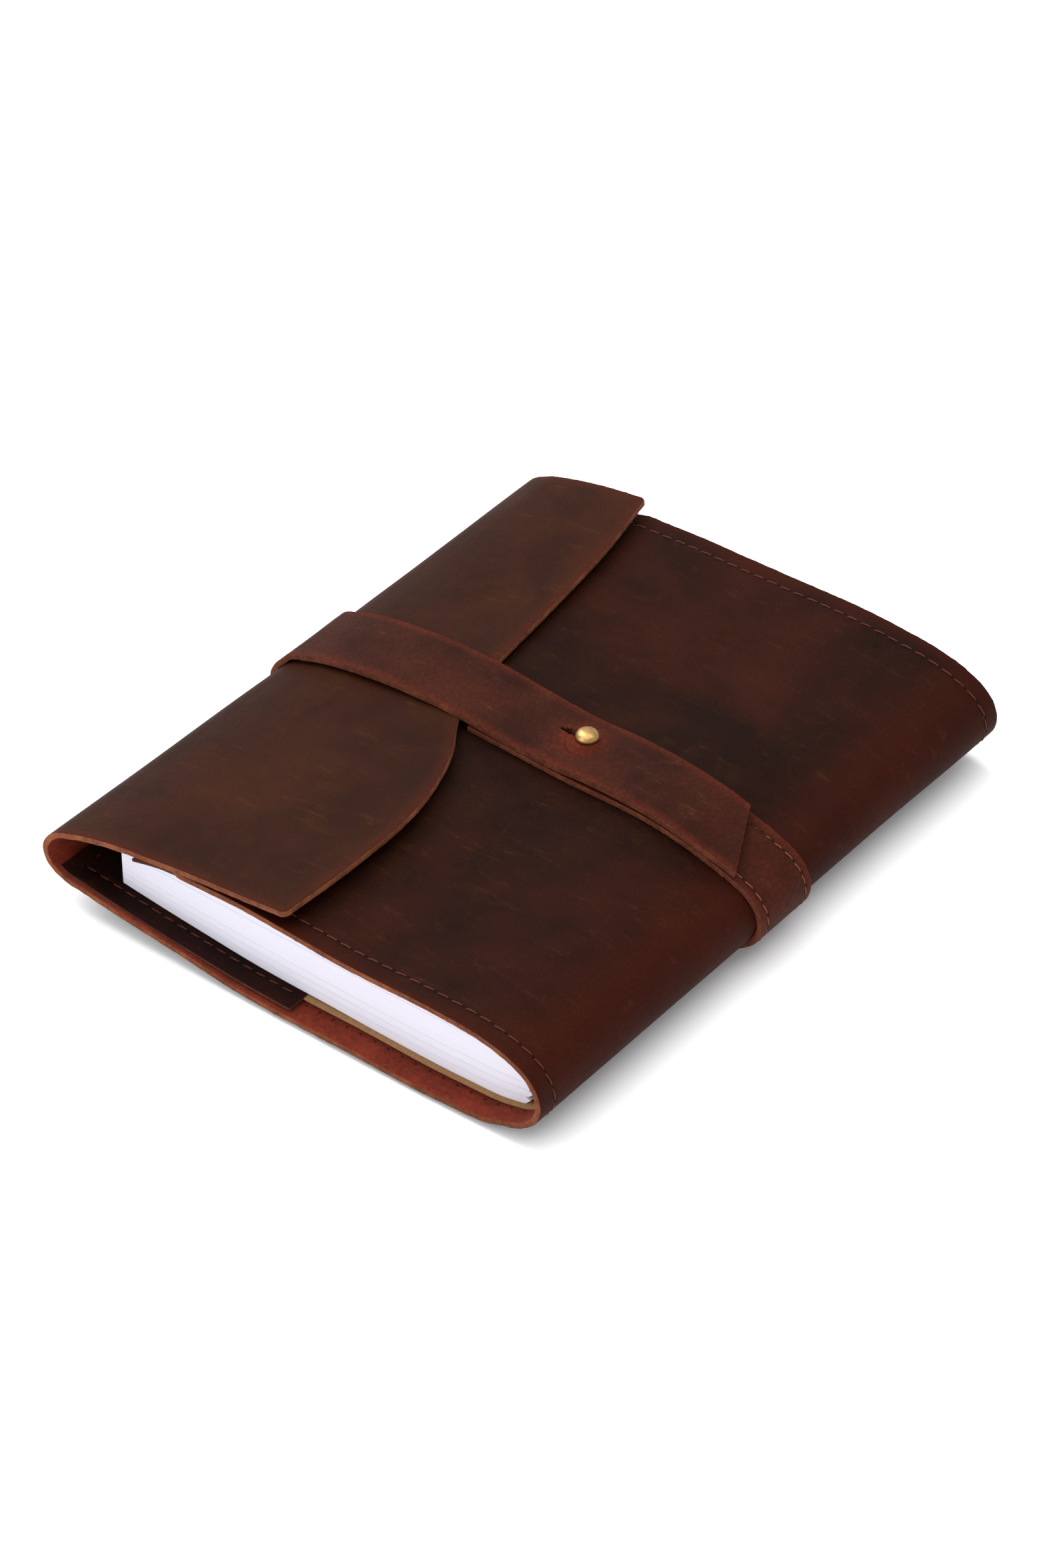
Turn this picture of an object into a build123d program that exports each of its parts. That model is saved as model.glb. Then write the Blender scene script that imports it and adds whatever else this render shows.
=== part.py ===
from build123d import *
import os
from math import cos, pi, sin

# Wrap-round leather notebook cover, closed. Millimetres.
# X runs from the fore-edge fold (-) to the spine (+), Y from the foot (-) to the head (+),
# Z up. The origin is the middle of the footprint, on the surface that the cover lies on.

# hide
hide_t = 2.0
cover_length = 226.0
foot, head = -cover_length / 2, cover_length / 2
front_inset = 0.8            # the front and back edges stop short of the flap's at each end

# strap: one band, sewn to the spine and the back, loose at both ends
strap_t = 2.0
strap_fold_x, strap_spine_x = -95.0, 95.0
strap_fold_y = (-9.0, 19.0)      # the band's two edges at the fold, where it is widest
strap_spine_y = (-11.0, 13.5)    # and at the spine
strap_lo, strap_hi = strap_spine_y[0], strap_fold_y[1]
lie_gap = 0.3                # between loose layers that lift off each other
sewn_gap = 0.05              # between layers that never part

# pockets and card
pocket_t = 1.0
pocket_back_x = (-88.5, 0.0)
pocket_front_x = (-60.0, 0.0)
pocket_short = 1.6           # how far the pockets stop short of the hide's ends
card_t = 0.4
card_left_x = -66.0
card_front_left_x = -58.0
card_margin = 0.6            # how far the card stands past the pages at each end

# page block, sagging with the back and tapering towards the fore-edge
page_length = 203.0
page_foot = -103.7
page_left, page_right = -70.3, 80.0
roof_left_z, roof_right_z = 26.6, 27.8
sag_on_pocket = (page_left, -52.0, -34.0, -16.0, 4.0)      # X stations of the underside
sag_on_card = (28.0, 50.0, 66.0, 74.0, 80.0, 85.0)
lie_t = 0.15                 # how far the block stays off what it lies on
signature_count = 8
signature_gap = 0.06
spine_round = 3.0            # how far the middle signatures stand out at the back
top_step_in = 1.7            # how far each of the top signatures sits in from the one below
fold_round = 0.5             # how far a signature's own fold stands out

# binding thread: kettle stitches over the backs of the signatures
thread_stations = (-85.0, -30.0, 28.0, 82.0)
knot_size = (0.6, 7.0, 1.6)

# flap outline in plan: a deep lobe at the foot, shallower towards the head
flap_edge = [(0.5, -113.0), (1.3, -95.0), (1.3, -78.0), (0.2, -57.0), (-3.7, -39.7),
             (-9.4, -25.5), (-20.4, -7.5), (-27.4, 19.5), (-31.0, 45.0), (-36.0, 85.0),
             (-42.0, 113.0)]

# strap's cut end: a slanting cut
strap_tip_near, strap_tip_far = 83.6, 70.5
stud_end_x = -16.0

# Sam Browne stud
stud_x, stud_y = 17.5, 5.0
head_r = 4.0
head_h = 3.3
neck_r = 2.1
collar_r, collar_h = 3.2, 0.6
screw_r = 1.3
screw_head_r, screw_head_h = 3.0, 0.7
slot_r = 4.6
slot_shift = (-0.3, 1.3)     # the opening's two ends from the stud's axis
slit_w, slit_end_x = 1.0, 6.0

# stitching
stitch_pitch = 5.0
stitch_long, stitch_wide, stitch_high = 3.6, 0.8, 0.45
stitch_inset = 6.3
front_row_x, back_row_x = -56.0, -83.5      # rows along the free edges, through the pockets
strap_rows_x = 72.0                         # where the strap's rows leave the flat underside
strap_row_inset = 3.0

# hinge stations along the hide, as X on its outer face
fold_x, fold_z = -92.5, 18.5
shoulder_x, shoulder_z = 80.5, 30.2
slot_hinge_x = -72.0
stud_hinge_x = 78.4

# outer face of the hide, seen from the foot end, as points (x, z)
fold_low = [(fold_x, fold_z), (-92.1, 15.8), (-90.6, 13.0), (-86.5, 10.2), (-77.0, 8.4), (-60.0, 6.2),
            (-40.0, 4.2), (-20.0, 2.6)]
back_flat = [(-6.0, strap_t), (20.0, strap_t), (58.0, strap_t)]
spine = [(75.0, 3.4), (85.0, 6.8), (90.3, 12.2), (91.5, 16.8), (90.2, 22.3), (86.4, 27.0),
         (shoulder_x, shoulder_z)]
front = [(shoulder_x, shoulder_z), (70.0, 32.9), (55.0, 33.9), (18.0, 33.8), (0.0, 34.6),
         (-20.0, 35.2), (-38.0, 34.2), (-50.0, 32.6), (-61.0, 30.9)]
flap_top = [(fold_x, fold_z), (-92.2, 20.3), (-91.2, 22.4), (-88.0, 26.1), (-81.3, 29.3), (-73.0, 31.9),
            (-61.0, 34.4), (-50.0, 35.6), (-40.0, 36.9), (-31.0, 38.0), (-14.0, 39.4),
            (1.4, 41.0)]
slot_top = [(-88.0, 29.0), (-81.3, 31.9), (-73.0, 34.4), (-61.0, 36.8), (-50.0, 38.1), (-40.0, 39.3),
            (-27.0, 41.0), (-7.0, 39.8), (stud_x, 38.7), (32.0, 39.2), (55.0, 38.9),
            (70.0, 37.9), (79.0, 36.1), (85.0, 33.5)]


def curve(points):
    """Smooth edge through (x, z) points."""
    return Spline(*[(x, 0, z) for x, z in points])


def side(path, u, distance):
    """Point beside the path: positive is to the right of its direction, seen from the foot."""
    along = (path % u).normalized()
    return path @ u + Vector(along.Z, 0, -along.X) * distance


def at_x(path, x, low=0.0, high=1.0):
    """Place on the path, between low and high, where it crosses X."""
    rising = (path @ high).X > (path @ low).X
    for _ in range(40):
        middle = (low + high) / 2
        if ((path @ middle).X < x) == rising:
            low = middle
        else:
            high = middle
    return low


def height_inside(path, x, gap):
    """Height at X of the surface that lies gap inside the path."""
    u = at_x(path, x, 0.0, 0.9)
    return (path @ u).Z + gap / abs((path % u).normalized().X)


def layer(path, near, far, u0=0.0, u1=1.0, y0=foot, y1=head, count=28):
    """Solid sheet between two distances beside the path."""
    steps = [u0 + (u1 - u0) * i / (count - 1) for i in range(count)]
    first = Spline(*[side(path, u, near) for u in steps])
    second = Spline(*[side(path, u, far) for u in steps])
    ends = [Line(first @ 0, second @ 0), Line(first @ 1, second @ 1)]
    section = make_face([first, second] + ends)
    return extrude(Pos(0, y0, 0) * section, amount=y1 - y0, dir=(0, 1, 0))


def stitches(path, u0, u1, y, distance):
    """Row of thread lengths along the path, standing on the face at a distance beside it."""
    run = path.length * abs(u1 - u0)
    count = int(run / stitch_pitch)
    row = []
    for i in range(count):
        u = u0 + (u1 - u0) * (i + 0.5) / count
        along = (path % u).normalized()
        place = Plane(side(path, u, distance), x_dir=along, z_dir=Vector(along.Z, 0, -along.X))
        thread = Box(stitch_long, stitch_wide, stitch_high)
        row.append(Pos(0, y, 0) * (place * thread))
    return row


def cross_stitches(path, u, distance, y0, y1):
    """Row of thread lengths across the path, from y0 to y1."""
    count = int((y1 - y0) / stitch_pitch)
    along = (path % u).normalized()
    place = Plane(side(path, u, distance), x_dir=along, z_dir=Vector(along.Z, 0, -along.X))
    row = []
    for i in range(count):
        y = y0 + (y1 - y0) * (i + 0.5) / count
        row.append(Pos(0, y, 0) * (place * Box(stitch_wide, stitch_long, stitch_high)))
    return row


def plan_prism(points):
    """Tall prism over a closed outline in plan."""
    outline = make_face(Polyline(*[(x, y, 0) for x, y in points], close=True))
    return extrude(Pos(0, 0, -5) * outline, amount=80)


def upright(radius, x, z0, z1):
    return Pos(x, stud_y, (z0 + z1) / 2) * Cylinder(radius, z1 - z0)


def save(name, shape):
    export_step(shape, os.path.join("parts", name + ".step"))


os.makedirs("parts", exist_ok=True)

back_path = curve(fold_low + back_flat + spine)
front_path = curve(front)
flap_path = curve(flap_top)
slot_path = curve(slot_top)

# going round from the fold under the back to the front, outside is on the path's right
edge_lo, edge_hi = foot + front_inset, head - front_inset

# hide: back with the lower fold and the spine
back_cover = layer(back_path, 0, -hide_t, 0.0005, 0.9995, edge_lo, edge_hi, 60)
save("back_cover", back_cover)

# hide: front panel
front_cover = layer(front_path, 0, -hide_t, 0.0015, 1, edge_lo, edge_hi, 30)
save("front_cover", front_cover)

# hide: flap, trimmed to its outline; the flap's path runs the other way round
outline = Spline(*[(x, y, 0) for x, y in flap_edge])
trim = [tuple(outline @ (i / 40))[:2] for i in range(41)]
flap_prism = plan_prism([(-100, foot - 1), (trim[0][0], foot - 1)] + trim
                        + [(trim[-1][0], head + 1), (-100, head + 1)])
flap = layer(flap_path, 0, hide_t, 0.002, 1) & flap_prism
save("flap", flap)

# pockets: sewn inside the back and the front, with room behind each for the refill's card
card_room = card_t + 2 * sewn_gap
pocket_near = -hide_t - card_room
pocket_lo, pocket_hi = edge_lo + pocket_short, edge_hi - pocket_short
u0, u1 = [at_x(back_path, x, 0.0, 0.6) for x in pocket_back_x]
back_pocket = layer(back_path, pocket_near, pocket_near - pocket_t, u0, u1, pocket_lo, pocket_hi)
save("back_pocket", back_pocket)
u1, u0 = [at_x(front_path, x) for x in pocket_front_x]
front_pocket = layer(front_path, pocket_near, pocket_near - pocket_t, u0, u1, pocket_lo, pocket_hi)
save("front_pocket", front_pocket)

# kraft card round the page block: back leaf and spine stay, the front leaf goes with the front
card_near = -hide_t - sewn_gap
card_foot, card_head = page_foot - card_margin, page_foot + page_length + card_margin
card_u = at_x(back_path, card_left_x, 0.0, 0.6)
card_back = layer(back_path, card_near, card_near - card_t, card_u, 0.9995, card_foot, card_head, 50)
save("kraft_card_back", card_back)
card_u = at_x(front_path, card_front_left_x)
card_front = layer(front_path, card_near, card_near - card_t, 0.0015, card_u, card_foot, card_head)
save("kraft_card_front", card_front)

# page block: folded signatures between a sagging floor and a straight roof
floor_gap = hide_t + card_room + lie_t
floor = [(x, height_inside(back_path, x, floor_gap + pocket_t)) for x in sag_on_pocket]
floor += [(x, height_inside(back_path, x, floor_gap)) for x in sag_on_card]


def leaf_line(share, right_x, drop=0.0):
    """Points across the block, as far as right_x, at a share of its height."""
    points = []
    for x, low in floor:
        high = roof_left_z + (roof_right_z - roof_left_z) * (x - page_left) / (page_right - page_left)
        points.append((x, 0, low + (high - low) * share - drop))
    kept = [point for point in points if point[0] < right_x]
    (x0, _, z0), (x1, _, z1) = kept[-1], points[len(kept)]
    return kept + [(right_x, 0, z0 + (z1 - z0) * (right_x - x0) / (x1 - x0))]


signature_ends = []
for i in range(signature_count):
    bulge = spine_round * sin(pi * (i + 0.8) / (signature_count + 0.6))
    right_x = page_right + bulge - top_step_in * max(0, i - 5)
    low = leaf_line(i / signature_count, right_x)
    high = leaf_line((i + 1) / signature_count, right_x, signature_gap)
    low_z, high_z = low[-1][2], high[-1][2]
    fold = (right_x + fold_round, 0, (low_z + high_z) / 2)
    section = make_face([Polyline(*low), ThreePointArc(low[-1], fold, high[-1]),
                         Polyline(*reversed(high)), Line(high[0], low[0])])
    signature_ends.append((right_x, low_z, high_z))
    placed = Pos(0, page_foot, 0) * section
    save("signature_%d" % (i + 1), extrude(placed, amount=page_length, dir=(0, 1, 0)))

thread = []
for station in thread_stations:
    for right_x, low_z, high_z in signature_ends[1:-2]:
        knot_x = right_x + fold_round + knot_size[0] / 2 + lie_t
        thread.append(Pos(knot_x, station, (low_z + high_z) / 2) * Box(*knot_size))
save("binding_thread", Compound(children=thread))

# strap: sewn along the back and round the spine, with the lower half of the fold
strap_out = sewn_gap + strap_t
strap_plan = plan_prism([(strap_fold_x, strap_fold_y[0]), (strap_spine_x, strap_spine_y[0]),
                         (strap_spine_x, strap_spine_y[1]), (strap_fold_x, strap_fold_y[1])])
strap_back = layer(back_path, sewn_gap, strap_out, 0.0005, 0.9995, strap_lo, strap_hi, 60)
strap_back &= strap_plan
strap_back -= Pos(0, 0, -5) * Box(300, 80, 10)      # flat where the cover lies on it
save("strap_back", strap_back)

# strap: the loose run round the upper half of the fold, as far as the slot end's hinge
flap_u = at_x(flap_path, slot_hinge_x - 0.15)
strap_fold = layer(flap_path, -lie_gap, -lie_gap - strap_t, 0.003, flap_u, strap_lo, strap_hi, 40)
strap_fold &= strap_plan
save("strap_fold", strap_fold)

# strap: slot end, over the flap and the front, with its slanting cut end and its slot
slot_u = at_x(slot_path, slot_hinge_x + 0.15)
slot_end = layer(slot_path, 0, strap_t, slot_u, 1, strap_lo, strap_hi, 40) & strap_plan
slot_end -= plan_prism([(strap_tip_near, strap_spine_y[0] - 4), (strap_tip_near, strap_spine_y[0]),
                        (strap_tip_far, strap_spine_y[1]), (strap_tip_far, strap_spine_y[1] + 4),
                        (120, strap_spine_y[1] + 4), (120, strap_spine_y[0] - 4)])
for shift in slot_shift:
    slot_end -= upright(slot_r, stud_x + shift, 20, 60)
slit = Pos((slit_end_x + stud_x) / 2, stud_y, 40) * Box(stud_x - slit_end_x, slit_w, 40)
slot_end -= slit
save("strap_slot_end", slot_end)

# strap: stud end, lying on the front under the slot end
u0, u1 = at_x(front_path, stud_hinge_x), at_x(front_path, stud_end_x)
stud_end = layer(front_path, lie_gap, lie_gap + strap_t, u0, u1, strap_lo, strap_hi) & strap_plan
stud_floor = side(front_path, at_x(front_path, stud_x), lie_gap).Z
stud_seat = stud_floor + strap_t + 0.05
stud_end -= upright(screw_r + 0.05, stud_x, 20, 60)
stud_end -= upright(screw_head_r + 0.1, stud_x, stud_floor - 3, stud_floor + screw_head_h + 0.15)
save("strap_stud_end", stud_end)

# stud: collar, waisted neck and flattened dome head, turned in one piece
neck_top = stud_seat + 3.2
head_top = neck_top + head_h
screw_tip = stud_seat + 1.6
half = make_face([
    Line((0, 0, screw_tip), (screw_r, 0, screw_tip)),
    Line((screw_r, 0, screw_tip), (screw_r, 0, stud_seat)),
    Line((screw_r, 0, stud_seat), (collar_r, 0, stud_seat)),
    Line((collar_r, 0, stud_seat), (collar_r, 0, stud_seat + collar_h)),
    Line((collar_r, 0, stud_seat + collar_h), (neck_r + 0.4, 0, stud_seat + collar_h)),
    ThreePointArc((neck_r + 0.4, 0, stud_seat + collar_h), (neck_r, 0, neck_top - 1.3),
                  (neck_r + 0.5, 0, neck_top)),
    Spline((neck_r + 0.5, 0, neck_top), (head_r, 0, neck_top + 1.4),
           (head_r - 0.8, 0, head_top - 0.55), (0, 0, head_top), tangents=[(1, 0, 0), (-1, 0, 0)]),
    Line((0, 0, head_top), (0, 0, screw_tip))])
save("stud", Pos(stud_x, stud_y, 0) * revolve(half, Axis.Z))

# stud screw: flat slotted head let into the underside of the strap
screw = upright(screw_r - 0.05, stud_x, stud_floor + 0.1, screw_tip - 0.05)
screw += upright(screw_head_r, stud_x, stud_floor + 0.1, stud_floor + 0.1 + screw_head_h)
screw -= Pos(stud_x, stud_y, stud_floor + 0.1) * Box(8, 0.7, 0.6)
save("stud_screw", screw)

# stitching, on the outer faces
proud = stitch_high / 2 + 0.02
stitch_lo, stitch_hi = edge_lo + stitch_inset, edge_hi - stitch_inset
front_u = at_x(front_path, front_row_x)
rows = []
for y in (stitch_lo, stitch_hi):
    rows += stitches(front_path, 0.02, front_u, y, proud)
save("front_edge_stitching", Compound(children=rows))
rows = cross_stitches(front_path, front_u, proud, stitch_lo + 5, stitch_hi - 5)
save("front_pocket_stitching", Compound(children=rows))
back_u = at_x(back_path, back_row_x, 0.0, 0.6)
rows = []
for y in (stitch_lo, stitch_hi):
    rows += stitches(back_path, back_u, 0.985, y, proud)
save("back_edge_stitching", Compound(children=rows))
rows = cross_stitches(back_path, back_u, proud, stitch_lo + 5, strap_lo - 2)
rows += cross_stitches(back_path, back_u, proud, strap_hi + 2, stitch_hi - 5)
save("back_pocket_stitching", Compound(children=rows))
spine_u = at_x(back_path, strap_rows_x, 0.0, 0.9)
rows = []
for y in (strap_spine_y[0] + strap_row_inset, strap_spine_y[1] - strap_row_inset):
    rows += stitches(back_path, spine_u, 0.985, y, strap_out + proud)
save("strap_stitching", Compound(children=rows))

for name, path, u, distance in (("flap", flap_path, 0.0, -lie_gap - strap_t - 0.05),
                                ("front", front_path, 0.0, lie_gap + strap_t + 0.1),
                                ("slot end", slot_path, at_x(slot_path, slot_hinge_x), -0.05),
                                ("stud end", front_path, at_x(front_path, stud_hinge_x + 0.1),
                                 lie_gap + strap_t + 0.05)):
    place = side(path, u, distance)
    print("hinge %s: x %.2f z %.2f" % (name, place.X, place.Z))
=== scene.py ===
import bpy
from bisect import bisect_right
from math import ceil, exp, hypot, pi, radians, sin, sqrt
from mathutils import Matrix, Vector, noise


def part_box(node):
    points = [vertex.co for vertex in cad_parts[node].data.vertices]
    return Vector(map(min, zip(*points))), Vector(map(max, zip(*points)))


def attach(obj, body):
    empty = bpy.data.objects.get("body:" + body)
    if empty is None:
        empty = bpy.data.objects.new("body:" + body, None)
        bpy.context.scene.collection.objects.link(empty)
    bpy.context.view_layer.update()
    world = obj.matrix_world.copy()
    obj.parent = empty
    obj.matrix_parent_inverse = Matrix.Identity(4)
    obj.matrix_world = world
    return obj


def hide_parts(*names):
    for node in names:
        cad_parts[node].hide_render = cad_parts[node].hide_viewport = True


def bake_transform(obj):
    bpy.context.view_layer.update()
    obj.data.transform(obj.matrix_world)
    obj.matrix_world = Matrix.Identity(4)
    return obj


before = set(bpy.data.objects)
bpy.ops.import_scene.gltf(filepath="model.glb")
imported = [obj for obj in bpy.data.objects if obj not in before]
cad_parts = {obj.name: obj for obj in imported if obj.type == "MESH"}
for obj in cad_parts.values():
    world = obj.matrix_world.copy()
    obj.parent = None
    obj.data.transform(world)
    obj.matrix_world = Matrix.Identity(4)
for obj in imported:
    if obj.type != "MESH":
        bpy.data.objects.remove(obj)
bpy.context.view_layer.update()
mm = 0.001

# the hide's outer face, from the flap's tip round the fold, the back and the spine to the front (x, z in mm)
hide = {
    "thick": 2.0,
    "flap": [(12.0, 42.0), (1.4, 41.0), (-14.0, 39.5), (-31.0, 38.1), (-40.0, 37.1), (-50.0, 35.8),
             (-61.0, 34.4), (-73.0, 31.9), (-81.3, 29.3), (-88.0, 26.1), (-91.2, 22.4), (-92.2, 20.3)],
    "fold": [(-92.5, 18.5), (-92.1, 15.8), (-90.6, 13.0), (-86.5, 10.2), (-77.0, 8.4), (-60.0, 6.2),
             (-40.0, 4.2), (-20.0, 2.6), (-6.0, 2.1)],
    "back": [(20.0, 2.1), (58.0, 2.1), (75.0, 3.4)],
    "spine": [(85.0, 6.8), (90.3, 12.2), (91.5, 16.8), (90.2, 22.3), (86.4, 27.0), (80.5, 30.2)],
    "front": [(70.0, 32.9), (55.0, 33.9), (18.0, 33.8), (0.0, 34.6), (-20.0, 35.2), (-38.0, 34.2),
              (-50.0, 32.6), (-61.0, 30.9)],
    "flapEnd": 113.0,        # half the flap's length
    "coverEnd": 112.2,       # half the length of the rest
    "edge": [(-113.0, 0.5), (-95.0, 1.3), (-78.0, 1.3), (-57.0, 0.2), (-39.7, -3.7), (-25.5, -9.4),
             (-7.5, -20.4), (19.5, -27.6), (45.0, -31.0), (85.0, -36.0), (113.0, -42.2)],
    "corner": 1.6,
    "step": 1.25,
    "lobe": 62.0,            # width of the flap's columns that follow its edge
    "straight": 28.0,        # from the fold to where those columns begin
}
strap = {"thick": 2.0, "y": 3.5, "step": 0.8, "foldEdges": (-9.0, 19.0), "spineEdges": (-11.0, 13.5),
         "endX": 95.0, "lie": 0.05}
squeeze = {"deep": 3.0, "fold": 0.7, "x": 77.0, "reachX": 17.0, "reachY": 34.0}


def smooth(low, high, value):
    t = min(1.0, max(0.0, (value - low) / (high - low)))
    return t * t * (3 - 2 * t)


def smoothRun(points, step=0.4):     # dense points on a smooth line through the outline
    dense = []
    ends = [points[0]] + list(points) + [points[-1]]
    for i in range(1, len(ends) - 2):
        a, b, c, d = [Vector(p) for p in ends[i - 1:i + 3]]
        parts = max(2, ceil((c - b).length / step))
        for k in range(parts):
            dense.append(bezierPoint(a, b, c, d, k / parts))
    dense.append(Vector(points[-1]))
    lengths = [0.0]
    for p, q in zip(dense, dense[1:]):
        lengths.append(lengths[-1] + (q - p).length)
    return {"points": dense, "lengths": lengths, "end": lengths[-1]}


def bezierPoint(a, b, c, d, t):      # b to c, with slopes taken from the neighbours and kept in proportion
    lengthAB, lengthBC, lengthCD = (b - a).length, (c - b).length, (d - c).length
    slopeB = (c - b) if lengthAB == 0 else ((b - a) / lengthAB * lengthBC + (c - b) / lengthBC * lengthAB)
    slopeB = slopeB / (lengthAB + lengthBC) * lengthBC if lengthAB else slopeB
    slopeC = (c - b) if lengthCD == 0 else ((c - b) / lengthBC * lengthCD + (d - c) / lengthCD * lengthBC)
    slopeC = slopeC / (lengthBC + lengthCD) * lengthBC if lengthCD else slopeC
    h = t * t * (3 - 2 * t)
    return b * (1 - h) + c * h + slopeB * (t * (1 - t) ** 2) - slopeC * (t * t * (1 - t))


def onRun(run, s, away=0.0):         # point and outward direction at a distance along, shifted outwards
    points, lengths = run["points"], run["lengths"]
    s = min(max(s, 0.0), run["end"] - 1e-6)
    i = min(bisect_right(lengths, s) - 1, len(points) - 2)
    t = (s - lengths[i]) / (lengths[i + 1] - lengths[i])
    place = points[i].lerp(points[i + 1], t)
    before, after = points[max(i - 1, 0)], points[min(i + 2, len(points) - 1)]
    along = ((points[i + 1] - points[i]) * 2 + (points[i] - before) * (1 - t) + (after - points[i + 1]) * t)
    along.normalize()
    out = Vector((along.y, -along.x))
    return place + out * away, out


def whereX(run, x, low, high):       # distance along at which the run crosses x, between two distances
    rising = onRun(run, high)[0].x > onRun(run, low)[0].x
    for _ in range(40):
        middle = (low + high) / 2
        if (onRun(run, middle)[0].x < x) == rising:
            low = middle
        else:
            high = middle
    return low


hideRun = smoothRun(hide["flap"] + hide["fold"] + hide["back"] + hide["spine"] + hide["front"])
foldAt = min(range(len(hideRun["points"])), key=lambda i: hideRun["points"][i].x)
spineAt = max(range(len(hideRun["points"])), key=lambda i: hideRun["points"][i].x)
foldS, spineS = hideRun["lengths"][foldAt], hideRun["lengths"][spineAt]
middleS = whereX(hideRun, 0.0, foldS, spineS)
shoulderS = whereX(hideRun, 80.5, spineS, hideRun["end"])


def settle(place, flap=False):       # how the cover sits away from its even section, in mm
    x, y, z = place
    upper = smooth(13.0, 27.0, z)
    atStrap = exp(-((y - strap["y"]) / squeeze["reachY"]) ** 2)
    # the strap pulls the cover down by the spine's shoulder and draws the fold in
    z -= squeeze["deep"] * atStrap * exp(-((x - squeeze["x"]) / squeeze["reachX"]) ** 2) * upper
    x += squeeze["fold"] * exp(-((y - strap["y"]) / 24.0) ** 2) * smooth(-82.0, -91.0, x)
    # the fold's near end and the spine's far end stand out a little, and the back's ends reach the ground
    x -= 0.8 * smooth(-50.0, -112.0, y) * smooth(-80.0, -92.0, x)
    x += 0.9 * smooth(50.0, 112.0, y) * smooth(84.0, 91.0, x)
    z -= 0.95 * smooth(18.0, 90.0, abs(y - strap["y"])) * smooth(4.4, 2.2, z)
    # the far ends of the flap and the front are higher, and the front's free edge comes up to the flap
    if flap:
        z += (2.4 + 0.7 * smooth(-75.0, -45.0, x)) * smooth(30.0, 112.0, y) * smooth(22.0, 31.0, z)
    else:
        z += 2.3 * smooth(45.0, 112.0, y) * exp(-((x - 30.0) / 33.0) ** 2) * upper
        z += 1.15 * smooth(-28.0, -52.0, x) * smooth(27.0, 30.0, z)
    z += 0.35 * noise.noise(Vector((x, y, 0)) * 0.018) * smooth(4.0, 12.0, z)
    return Vector((x, y, z))


def onHide(s, y, away=0.0):
    place, out = onRun(hideRun, s, away)
    return settle(Vector((place.x, y, place.y)), s < foldS)


def useModifier(piece, kind, **settings):
    bpy.context.view_layer.objects.active = piece
    modifier = piece.modifiers.new(kind.title(), kind)
    for key, value in settings.items():
        setattr(modifier, key, value)
    bpy.ops.object.modifier_apply(modifier=modifier.name)


def pick(piece):
    bpy.ops.object.select_all(action="DESELECT")
    piece.select_set(True)
    bpy.context.view_layer.objects.active = piece


def dress(piece, *materials):
    piece.data.materials.clear()
    for material in materials:
        piece.data.materials.append(material)


def gridSheet(name, cols, rows, place):
    # place(u, v) gives a point in mm, its distance along and across for the seams, and how near an edge it is
    bpy.ops.object.select_all(action="DESELECT")
    bpy.ops.mesh.primitive_grid_add(x_subdivisions=cols, y_subdivisions=rows, size=2)
    piece = bpy.context.object
    piece.name = piece.data.name = name
    piece.data.attributes.new("seamMap", "FLOAT_VECTOR", "POINT")
    piece.data.attributes.new("edgeNear", "FLOAT", "POINT")
    seams, edges = piece.data.attributes["seamMap"], piece.data.attributes["edgeNear"]
    for vertex in piece.data.vertices:
        u, v = (vertex.co.x + 1) / 2, (vertex.co.y + 1) / 2
        point, along, across, near = place(u, v)
        vertex.co = point * mm
        seams.data[vertex.index].vector = (along, across, 0)
        edges.data[vertex.index].value = near
    return piece


def thicken(piece, thick, bevel=0.28, isSeam=None, ragged=0.12):
    # wall, softened cut edges, and a cut face that isn't quite true
    pick(piece)
    useModifier(piece, "SOLIDIFY", thickness=thick * mm, offset=-1, use_even_offset=True,
                material_offset=2, material_offset_rim=1)
    mesh = piece.data
    weights = mesh.attributes.new("bevel_weight_edge", "FLOAT", "EDGE")
    faceOf = {}
    for face in mesh.polygons:
        for key in face.edge_keys:
            faceOf.setdefault(key, []).append(face)
    for edge in mesh.edges:
        faces = faceOf[tuple(sorted(edge.vertices))]
        if len(faces) == 2 and faces[0].normal.dot(faces[1].normal) < 0.5:
            middle = (mesh.vertices[edge.vertices[0]].co + mesh.vertices[edge.vertices[1]].co) / 2
            if not isSeam or not isSeam(middle / mm):
                weights.data[edge.index].value = 1.0
    useModifier(piece, "BEVEL", width=bevel * mm, segments=2, limit_method="WEIGHT", affect="EDGES")
    rough = set()
    for face in mesh.polygons:
        if face.material_index == 1:
            rough.update(face.vertices)
    normals = {i: mesh.vertices[i].normal.copy() for i in rough}
    for i in rough:
        co = mesh.vertices[i].co
        if isSeam and isSeam(co / mm):
            continue
        push = noise.noise(co / mm * 1.3) + 0.6 * noise.noise(co / mm * 0.31)
        mesh.vertices[i].co = co + normals[i] * push * ragged * mm
    pick(piece)
    bpy.ops.object.shade_smooth_by_angle(angle=radians(50))
    return piece


def addNode(tree, kind, inputs=None, **settings):
    made = tree.nodes.new(kind)
    for key, value in settings.items():
        setattr(made, key, value)
    for key, value in (inputs or {}).items():
        if isinstance(value, bpy.types.NodeSocket):
            tree.links.new(value, made.inputs[key])
        else:
            made.inputs[key].default_value = value
    return made


def math(tree, operation, *values, clamp=False):
    made = addNode(tree, "ShaderNodeMath", dict(enumerate(values)), operation=operation, use_clamp=clamp)
    return made.outputs[0]


def mixColour(tree, amount, a, b):
    return addNode(tree, "ShaderNodeMix", {0: amount, 6: a, 7: b}, data_type="RGBA").outputs[2]


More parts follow.
